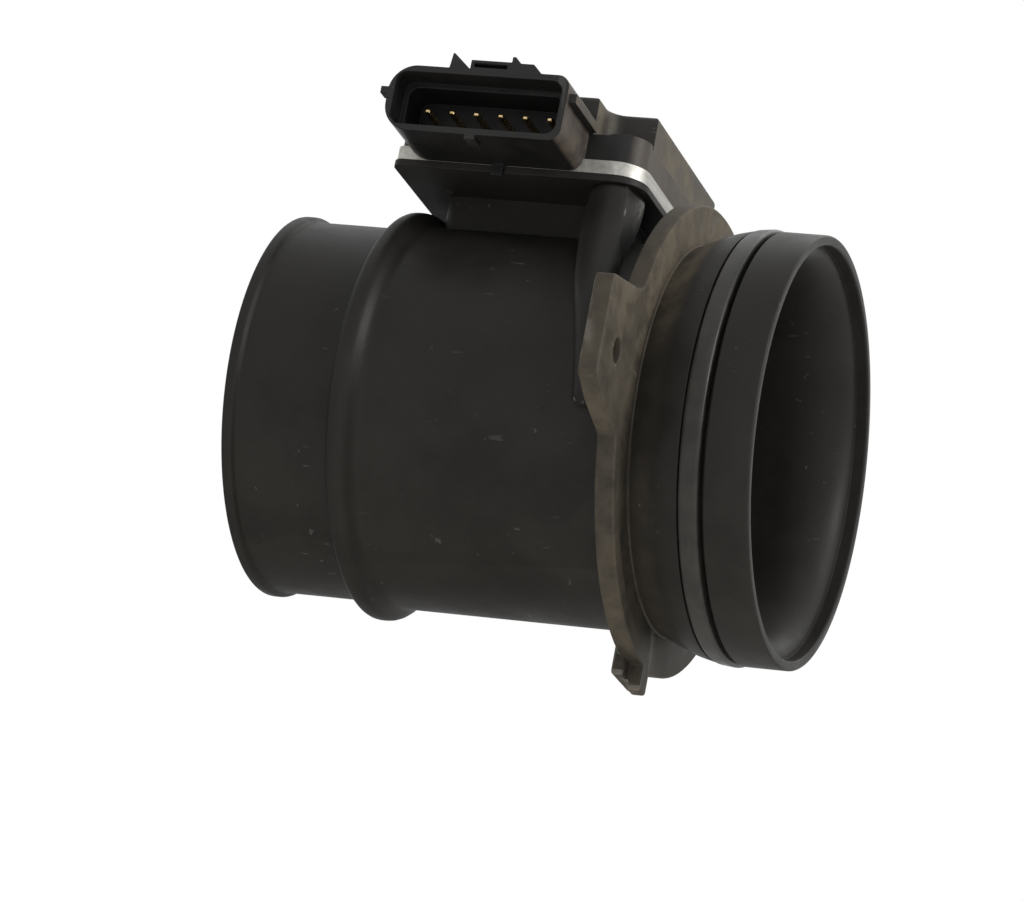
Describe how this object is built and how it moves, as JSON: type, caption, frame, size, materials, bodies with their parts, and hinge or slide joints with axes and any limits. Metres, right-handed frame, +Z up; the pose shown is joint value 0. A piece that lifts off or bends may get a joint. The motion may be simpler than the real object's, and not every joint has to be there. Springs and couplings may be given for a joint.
{
  "type": "mass airflow sensor",
  "caption": "Round plastic air duct with a bolted mounting flange and, on top, a plug-in electronics module whose hot-wire probe hangs in the air stream.",
  "frame": {"origin": "centre of the mounting flange's inlet-side face, on the duct's axis", "axes": "+X along the duct out of the inlet mouth, +Z up through the electronics module, the plug opens towards -Y"},
  "size_m": [0.1019, 0.1184, 0.1059],
  "materials": {
    "duct_plastic": "charcoal glass-filled nylon, satin, scuffed and dusty",
    "seal_rubber": "smooth black rubber",
    "plate_aluminium": "dull cast aluminium",
    "housing_plastic": "near-black moulded plastic",
    "sealant": "cured black sealant",
    "cover_plastic": "dark moulded plastic, dusty",
    "board_laminate": "green solder mask",
    "chip_black": "moulded black epoxy",
    "capacitor_ceramic": "tan ceramic",
    "pin_plating": "plated, bright",
    "probe_plastic": "black moulded plastic",
    "lead_steel": "drawn wire",
    "element_metal": "fine wire on a small core",
    "element_ceramic": "white ceramic core",
    "sensor_glass": "dark epoxy bead on two wires",
    "screw_steel": "zinc plated, dull"
  },
  "bodies": {
    "root": {"duct_body": "duct_plastic", "inlet_seal_ring": "seal_rubber", "heat_sink_plate": "plate_aluminium", "module_housing": "housing_plastic", "cover_sealant": "sealant", "module_cover": "cover_plastic", "circuit_board": "board_laminate", "control_chip": "chip_black", "voltage_regulator": "chip_black", "board_capacitors": "capacitor_ceramic", "connector_pin_1": "pin_plating", "connector_pin_2": "pin_plating", "connector_pin_3": "pin_plating", "connector_pin_4": "pin_plating", "connector_pin_5": "pin_plating", "connector_pin_6": "pin_plating", "probe_housing": "probe_plastic", "probe_cover": "probe_plastic", "probe_seal_ring": "seal_rubber", "support_leads": "lead_steel", "hot_wire_element": "element_metal", "compensation_element": "element_ceramic", "air_temperature_sensor": "sensor_glass", "module_screw_front": "screw_steel", "module_screw_rear": "screw_steel"}
  },
  "joints": []
}
